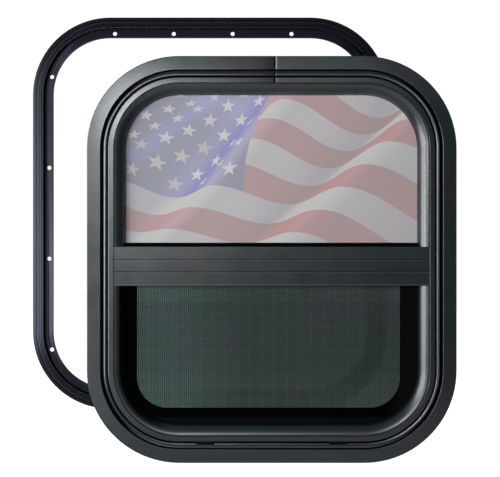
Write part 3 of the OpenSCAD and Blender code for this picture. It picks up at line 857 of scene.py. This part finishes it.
# stars: centre, width, height, rise of the row and lean, in layout units
STARS = [
    (-139.9, 91.1, 15.5, 14.5, -0.30, 0.20), (-97.2, 76.1, 17.5, 14.5, -0.22, 0.20), (-68.8, 77.9, 8.0, 9.0, 0.75, 0.70), (-42.5, 91.9, 16.5, 15.5, 0.10, 0.12),
    (-115.2, 97.9, 20.5, 16.0, -0.32, 0.22), (-74.7, 85.4, 14.2, 12.5, 0.04, 0.22), (-51.0, 97.0, 7.6, 9.8, 0.80, 0.62),
    (-130.9, 115.9, 16.0, 10.6, -0.10, 0.22), (-90.1, 103.9, 18.4, 14.8, -0.26, 0.22), (-55.7, 99.6, 11.0, 12.4, 0.30, 0.34),
    (-138.4, 125.6, 15.0, 9.4, 0.05, 0.25), (-106.2, 122.6, 17.6, 12.8, -0.16, 0.22), (-67.9, 112.4, 16.8, 14.8, -0.22, 0.18), (-39.2, 117.2, 7.8, 8.6, 0.70, 0.60), (-33.0, 118.2, 10.6, 9.8, 0.52, 0.50),
    (-117.4, 134.3, 14.4, 8.2, 0.06, 0.26), (-83.2, 129.8, 16.0, 12.8, -0.16, 0.22), (-47.7, 124.9, 14.8, 13.6, -0.02, 0.14),
    (-126.1, 145.1, 15.4, 10.4, -0.10, 0.22), (-94.2, 141.8, 13.6, 8.8, 0.08, 0.28), (-61.9, 139.8, 15.8, 14.2, -0.08, 0.16), (-30.5, 140.3, 14.0, 13.8, 0.16, 0.20), (-22.1, 137.8, 7.8, 8.2, 0.80, 0.75),
    (-103.2, 151.1, 15.4, 9.0, -0.06, 0.24), (-73.9, 151.4, 12.6, 8.2, 0.12, 0.30), (-43.7, 154.4, 14.3, 13.9, 0.02, 0.08), (-12.6, 159.3, 13.2, 12.8, 0.26, 0.26),
    (-81.1, 156.8, 13.9, 7.0, 0.10, 0.32), (-57.2, 163.8, 11.6, 11.6, 0.10, 0.16), (-65.4, 167.4, 9.0, 8.0, 0.1, 0.2), (-27.8, 167.2, 12.0, 10.0, 0.1, 0.2), (-91.0, 166.6, 10.0, 8.0, 0.1, 0.2)]


def star_mesh():
    co, faces, tone = [], [], []
    y = FILM_Y[0] - 0.00003
    for sx, sy, w, h, rise, lean in STARS:
        base = len(co)
        rx, ry = w / 2 / 0.951, h / 2 / 0.905
        pts = []
        for k in range(10):
            a = math.pi / 2 + k * math.pi / 5
            r = 1.0 if k % 2 == 0 else 0.395
            px, py = r * math.cos(a) * rx, (r * math.sin(a) - 0.05) * ry
            pts.append((sx + px + py * lean, sy + py + px * rise))
        co.append(((sx - 0.05 * ry * lean) * U, y, (sy - 0.05 * ry) * U + MID))
        co += [(p[0] * U, y, p[1] * U + MID) for p in pts]
        fold = -6.75 - 0.765 * (162.5 - sy)
        d = abs(sx - fold)
        t = 193 if d < 34 else 182
        if sx < -60 and 70 < sy < 118 and d > 20:
            t = 172
        tone += [t] * 11
        faces += [(base, base + 1 + k, base + 1 + (k + 1) % 10) for k in range(10)]
    ob = mesh_object("flag_print_stars", co, faces, [])
    at = ob.data.attributes.new("print_star", "FLOAT_COLOR", "POINT")
    full = np.ones((len(co), 4), np.float32)
    full[:, :3] = np.array([srgb(t, t, t + 1) for t in tone]) * INK
    at.data.foreach_set("color", full.ravel())
    m = Mat("printed_star").set(spec=0.30)
    n = m.node("ShaderNodeVectorMath", operation="SCALE")
    m.link(m.attr("print_star", "Color"), n.inputs[0])
    m.link(m.math("MULTIPLY_ADD", m.noise(2400.0, 1.0), 0.06, PRINT_GAIN - 0.03), n.inputs["Scale"])
    m.to(n.outputs[0], "Base Color")
    m.to(m.math("MULTIPLY_ADD", m.noise(120.0, 3.0), 0.10, 0.45), "Roughness")
    ob.data.materials.append(m.m)
    return ob


lo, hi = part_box("flag_film")
FILM_Y = (lo.y, hi.y)
N_film_z = (lo.z - MID, hi.z - MID)
film = flag_print()
film.data.materials.append(print_material())
film.data.materials.append(film_back())
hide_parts("flag_film")
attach(film, "window")
stars = star_mesh()
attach(stars, "window")


# ---------------------------------------------------------------- the fly screen's wires
def wires(name, along_x, pitch=0.0015, d=0.00030, amp=0.00010):
    """Woven wires one way, each a three-sided strand that passes over and under."""
    lo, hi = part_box("screen_mesh")
    y = (lo.y + hi.y) / 2
    r = 0.0419
    xs = np.arange(lo.x + pitch / 2, hi.x, pitch)
    zs = np.arange(lo.z + pitch / 2, hi.z, pitch)
    co, quads = [], []
    total = 0
    cross = xs if along_x else zs
    for n, c in enumerate(zs if along_x else xs):
        if along_x:
            dz = max(0.0, lo.z + r - c)
            cut = r - math.sqrt(max(r * r - dz * dz, 0))
            a, b = lo.x + cut, hi.x - cut
        else:
            dx = max(0.0, lo.x + r - c, c - (hi.x - r))
            cut = r - math.sqrt(max(r * r - dx * dx, 0))
            a, b = lo.z + cut, hi.z
        inner = cross[(cross > a + 0.0002) & (cross < b - 0.0002)]
        pos = np.concatenate([[a], inner, [b]])
        k = np.searchsorted(cross, pos)
        sign = np.where((k + n) % 2 == 0, 1.0, -1.0) * (1 if along_x else -1)
        sign[0] = sign[-1] = 0
        m = len(pos)
        ring = []
        for q in range(3):
            t = math.pi / 2 + q * 2 * math.pi / 3
            oy, oc = -math.sin(t) * d / 2, math.cos(t) * d / 2
            py = y + sign * amp + oy
            if along_x:
                ring.append(np.stack([pos, py, np.full(m, c + oc)], -1))
            else:
                ring.append(np.stack([np.full(m, c + oc), py, pos], -1))
        co.append(np.concatenate(ring))
        i = np.arange(m - 1)
        for q in range(3):
            p, s = total + q * m, total + ((q + 1) % 3) * m
            f = np.stack([p + i, p + i + 1, s + i + 1, s + i], -1)
            quads.append(f if along_x else f[:, ::-1])
        total += 3 * m
    return quick_mesh(name, np.concatenate(co), np.concatenate(quads), [])


def wire_material():
    """Coated mesh: grey-green, the coating's tone drifting from strand to strand."""
    m = Mat("fly_mesh_strand").set(spec=0.40)
    a = m.noise(13.0, 2.0, 0.5)
    v1 = m.noise(1.0, 1.0, 0.6, m.mapped(scale=(640, 1, 30)))
    v2 = m.noise(1.0, 1.0, 0.6, m.mapped(scale=(30, 1, 640)))
    base = m.mix(m.range(a, 0.4, 0.62, smooth=True), (0.062, 0.100, 0.089), (0.075, 0.096, 0.098))
    n = m.node("ShaderNodeVectorMath", operation="SCALE")
    m.link(base, n.inputs[0])
    x, y, z = m.xyz()[0:3]
    # painted light: the strands are lighter towards the left, near the top and towards the bottom
    mesh_painted_light = m.range(x, -0.19, -0.02, 2.25, 1.0, smooth=True)
    mesh_painted_light = m.math("MULTIPLY", mesh_painted_light, m.math("ADD", m.range(z, 0.200, 0.230, 1.0, 1.65, smooth=True), m.range(z, 0.070, 0.125, 0.40, 0.0, smooth=True)))
    tone = m.math("ADD", m.math("MULTIPLY_ADD", v1, 0.26, 0.74), m.math("MULTIPLY", v2, 0.26))
    # every other strand is darker, so the weave shows as a fine check
    for v in (x, z):
        s = m.math("SINE", m.math("MULTIPLY", v, 2 * math.pi / 0.003))
        tone = m.math("MULTIPLY", tone, m.range(s, -0.4, 0.4, 0.62, 1.32))
    m.link(m.math("MULTIPLY", tone, mesh_painted_light), n.inputs["Scale"])
    m.to(n.outputs[0], "Base Color")
    m.to(m.math("MULTIPLY_ADD", v1, 0.2, 0.42), "Roughness")
    return m.m


strand = wire_material()
warp = wires("fly_mesh_upright_wires", False)
weft = wires("fly_mesh_level_wires", True)
for w in (warp, weft):
    w.data.materials.append(strand)
    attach(w, "window")
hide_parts("screen_mesh")


# ---------------------------------------------------------------- sealant wiped into the frame's joint
def joint_sealant():
    """A thin smear of black sealant along the left edge of the butt joint, with a tongue in the slot."""
    prof = [(0.3, 2.15), (0.91, 2.58), (9.0, 3.386), (17.7, 4.25), (18.5, 4.12), (18.85, 3.5), (19.0, 1.5), (23.5, 1.5),
            (23.7, 5.1), (24.6, 5.72), (25.6, 5.85), (26.6, 5.72), (27.5, 5.1), (27.6, 1.2), (29.5, 1.2), (29.62, 6.7),
            (29.95, 7.35), (30.6, 7.7), (33.5, 7.7), (36.5, 7.7), (36.9, 7.55)]
    section = [(2.95, -0.03), (3.10, 0.03), (3.80, 0.06), (5.12, 0.07), (5.27, 0.02), (5.27, -1.1), (5.03, -1.1), (5.03, -0.03)]
    rng = np.random.default_rng(11)
    co, faces = [], []
    n = len(section)
    for k, (u, z) in enumerate(prof):
        wide = rng.uniform(-0.10, 0.10)
        for i, (x, h) in enumerate(section):
            x2 = x + (wide if i < 3 else 0.0)
            co.append((x2 / 1000, -(z + h) / 1000, MID + HH - u / 1000))
    for k in range(len(prof) - 1):
        for i in range(n):
            a, b = k * n + i, k * n + (i + 1) % n
            faces.append((a, b, b + n, a + n))
    faces.append(tuple(range(n - 1, -1, -1)))
    faces.append(tuple(range((len(prof) - 1) * n, len(prof) * n)))
    ob = mesh_object("frame_joint_sealant", co, faces, [groove_mat])
    bm = bmesh.new()
    bm.from_mesh(ob.data)
    bmesh.ops.recalc_face_normals(bm, faces=bm.faces)
    bm.to_mesh(ob.data)
    bm.free()
    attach(ob, "window")


joint_sealant()


# ---------------------------------------------------------------- stage
def floor():
    s = 6.0
    ob = mesh_object("stage_floor", [(-s, -s, -0.0132), (s, -s, -0.0132), (s, s, -0.0132), (-s, s, -0.0132)], [(0, 1, 2, 3)], [])
    ob.visible_glossy = False
    ob.visible_diffuse = False
    ob.visible_shadow = False
    m = Mat("pale_floor").set(spec=0.0)
    a = m.noise(1.5, 2.0, 0.5)
    m.to(m.mix(a, (0.84, 0.84, 0.84), (0.88, 0.88, 0.88)), "Base Color")
    m.b.inputs["Roughness"].default_value = 0.9
    m.b.inputs["Emission Color"].default_value = (1, 1, 1, 1)
    m.b.inputs["Emission Strength"].default_value = 0.86
    ob.data.materials.append(m.m)


floor()
